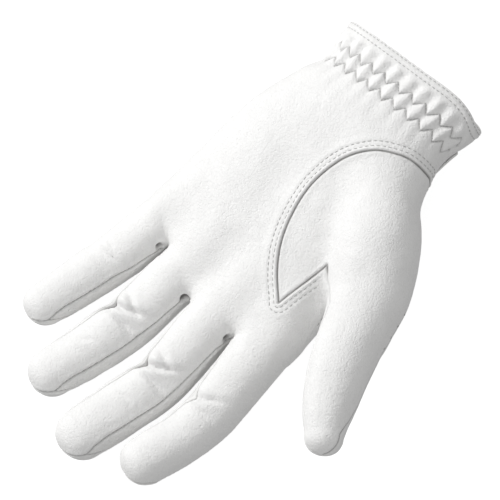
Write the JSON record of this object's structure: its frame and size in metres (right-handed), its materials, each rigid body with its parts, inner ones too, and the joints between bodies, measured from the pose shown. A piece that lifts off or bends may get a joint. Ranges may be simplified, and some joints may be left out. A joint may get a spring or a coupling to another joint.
{
  "type": "golf glove",
  "caption": "Left-hand leather golf glove, filled as worn, with panels for palm, back, thumb and finger sides, fingers that flex and a wrist tab that opens.",
  "frame": {"origin": "centre of the bounding box in X and Y, at the lowest point of the glove lying on its back, which is the outer face of the closure tab", "axes": "+Z is the way the palm faces, +Y is from the cuff to the fingertips, and the thumb is on the -X side"},
  "size_m": [0.1536, 0.2233, 0.0451],
  "materials": {
    "palm_leather": "matt fine grain",
    "back_leather": "matt fine grain",
    "thumb_leather": "matt fine grain",
    "fourchette_leather": "matt fine grain",
    "hem_leather": "matt, turned and stitched",
    "tab_leather": "matt fine grain",
    "elastic": "woven elastic",
    "loop_pile": "brushed loop pile",
    "hook_tape": "moulded hooks"
  },
  "bodies": {
    "hand": {"palm_panel": "palm_leather", "back_panel": "back_leather", "thumb_panel": "thumb_leather", "cuff_hem": "hem_leather", "elastic_band": "elastic", "slit_binding": "hem_leather", "loop_patch": "loop_pile", "tab_anchor": "tab_leather"},
    "closure_tab": {"closure_tab": "tab_leather", "hook_patch": "hook_tape"},
    "thumb_tip": {"thumb_tip_front": "thumb_leather", "thumb_tip_back": "back_leather"},
    "index_lower": {"index_lower_palm": "palm_leather", "index_lower_back": "back_leather", "index_lower_ulnar_fourchette": "fourchette_leather"},
    "index_upper": {"index_upper_palm": "palm_leather", "index_upper_back": "back_leather", "index_upper_ulnar_fourchette": "fourchette_leather"},
    "middle_lower": {"middle_lower_palm": "palm_leather", "middle_lower_radial_fourchette": "fourchette_leather", "middle_lower_back": "back_leather", "middle_lower_ulnar_fourchette": "fourchette_leather"},
    "middle_upper": {"middle_upper_palm": "palm_leather", "middle_upper_radial_fourchette": "fourchette_leather", "middle_upper_back": "back_leather", "middle_upper_ulnar_fourchette": "fourchette_leather"},
    "ring_lower": {"ring_lower_palm": "palm_leather", "ring_lower_radial_fourchette": "fourchette_leather", "ring_lower_back": "back_leather", "ring_lower_ulnar_fourchette": "fourchette_leather"},
    "ring_upper": {"ring_upper_palm": "palm_leather", "ring_upper_radial_fourchette": "fourchette_leather", "ring_upper_back": "back_leather", "ring_upper_ulnar_fourchette": "fourchette_leather"},
    "little_lower": {"little_lower_palm": "palm_leather", "little_lower_radial_fourchette": "fourchette_leather", "little_lower_back": "back_leather"},
    "little_upper": {"little_upper_palm": "palm_leather", "little_upper_radial_fourchette": "fourchette_leather", "little_upper_back": "back_leather"}
  },
  "joints": [
    {"name": "tab", "type": "hinge", "parent": "hand", "child": "closure_tab", "pos_m": [0.01415, -0.081, 0.0002], "axis": [0, 1, 0], "range_deg": [0, 160]},
    {"name": "index_base", "type": "hinge", "parent": "hand", "child": "index_lower", "pos_m": [-0.01454, 0.03084, 0.02567], "axis": [0.9853, 0.1707, 0], "range_deg": [0, 60]},
    {"name": "index_middle", "type": "hinge", "parent": "index_lower", "child": "index_upper", "pos_m": [-0.01774, 0.05335, 0.02249], "axis": [0.9944, 0.1053, 0], "range_deg": [0, 80]},
    {"name": "middle_base", "type": "hinge", "parent": "hand", "child": "middle_lower", "pos_m": [0.01082, 0.03573, 0.02568], "axis": [0.9943, 0.1062, 0], "range_deg": [0, 60]},
    {"name": "middle_middle", "type": "hinge", "parent": "middle_lower", "child": "middle_upper", "pos_m": [0.00819, 0.0612, 0.0229], "axis": [0.9995, 0.0306, 0], "range_deg": [0, 80]},
    {"name": "ring_base", "type": "hinge", "parent": "hand", "child": "ring_lower", "pos_m": [0.03778, 0.03382, 0.02547], "axis": [0.9998, 0.0185, 0], "range_deg": [0, 60]},
    {"name": "ring_middle", "type": "hinge", "parent": "ring_lower", "child": "ring_upper", "pos_m": [0.03801, 0.05633, 0.0226], "axis": [0.9994, -0.0353, 0], "range_deg": [0, 80]},
    {"name": "little_base", "type": "hinge", "parent": "hand", "child": "little_lower", "pos_m": [0.0628, 0.03103, 0.02475], "axis": [0.9956, -0.0937, 0], "range_deg": [0, 60]},
    {"name": "little_middle", "type": "hinge", "parent": "little_lower", "child": "little_upper", "pos_m": [0.06536, 0.04751, 0.02179], "axis": [0.9936, -0.1128, 0], "range_deg": [0, 80]},
    {"name": "thumb", "type": "hinge", "parent": "hand", "child": "thumb_tip", "pos_m": [-0.04047, 0.00139, 0.04363], "axis": [0.643, 0.5949, -0.4823], "range_deg": [0, 35]}
  ]
}
